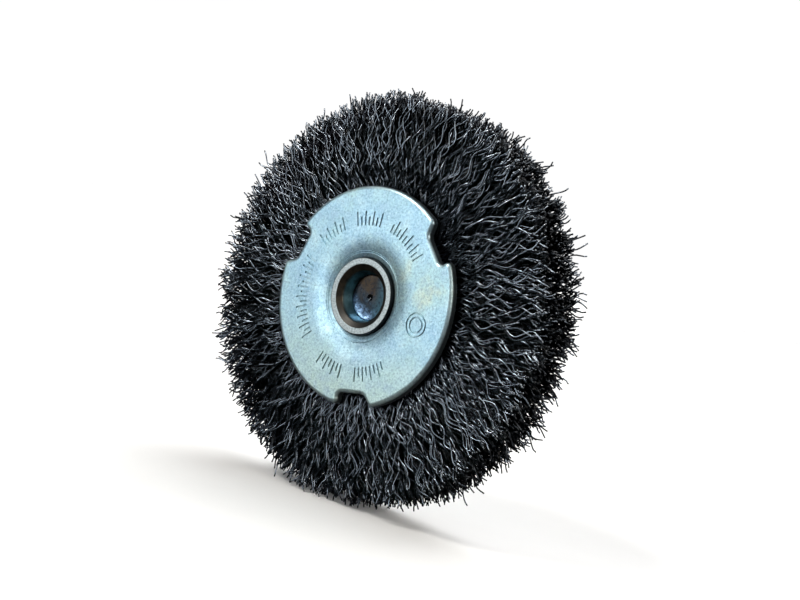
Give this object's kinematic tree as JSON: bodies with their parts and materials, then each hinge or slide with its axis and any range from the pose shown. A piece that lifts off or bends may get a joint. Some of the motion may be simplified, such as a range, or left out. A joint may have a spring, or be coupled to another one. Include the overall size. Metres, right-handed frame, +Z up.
{
  "type": "crimped wire wheel brush",
  "caption": "Round crimped steel wire wheel brush gripped between two notched, zinc-plated flanges on a hub tube, with a plain round stem for a drill chuck.",
  "frame": {"origin": "centre of the wheel, on its axis and midway through the thickness of the wire fill", "axes": "Y is the axis of turning: the front flange with the open hub mouth faces -Y and the stem leaves along +Y; +Z up, with the wheel upright"},
  "size_m": [0.1, 0.0532, 0.1],
  "materials": {
    "zinc_plate": "satin zinc plating with fine grain",
    "hub_steel": "cut and plated steel tube",
    "shank_steel": "plain turned steel",
    "inner_steel": "dull, slightly oily steel",
    "crimped_wire": "dark oiled carbon-steel wire, crimped"
  },
  "bodies": {
    "root": {"front_flange": "zinc_plate", "rear_flange": "zinc_plate", "hub_tube": "hub_steel", "drive_shank": "shank_steel", "spacer_sleeve": "inner_steel", "front_inner_plate": "inner_steel", "rear_inner_plate": "inner_steel", "front_core_ring": "inner_steel", "rear_core_ring": "inner_steel", "front_bundle_01": "crimped_wire", "front_bundle_02": "crimped_wire", "front_bundle_03": "crimped_wire", "front_bundle_04": "crimped_wire", "front_bundle_05": "crimped_wire", "front_bundle_06": "crimped_wire", "front_bundle_07": "crimped_wire", "front_bundle_08": "crimped_wire", "front_bundle_09": "crimped_wire", "front_bundle_10": "crimped_wire", "front_bundle_11": "crimped_wire", "front_bundle_12": "crimped_wire", "front_bundle_13": "crimped_wire", "front_bundle_14": "crimped_wire", "front_bundle_15": "crimped_wire", "front_bundle_16": "crimped_wire", "front_bundle_17": "crimped_wire", "front_bundle_18": "crimped_wire", "rear_bundle_01": "crimped_wire", "rear_bundle_02": "crimped_wire", "rear_bundle_03": "crimped_wire", "rear_bundle_04": "crimped_wire", "rear_bundle_05": "crimped_wire", "rear_bundle_06": "crimped_wire", "rear_bundle_07": "crimped_wire", "rear_bundle_08": "crimped_wire", "rear_bundle_09": "crimped_wire", "rear_bundle_10": "crimped_wire", "rear_bundle_11": "crimped_wire", "rear_bundle_12": "crimped_wire", "rear_bundle_13": "crimped_wire", "rear_bundle_14": "crimped_wire", "rear_bundle_15": "crimped_wire", "rear_bundle_16": "crimped_wire", "rear_bundle_17": "crimped_wire", "rear_bundle_18": "crimped_wire"}
  },
  "joints": []
}
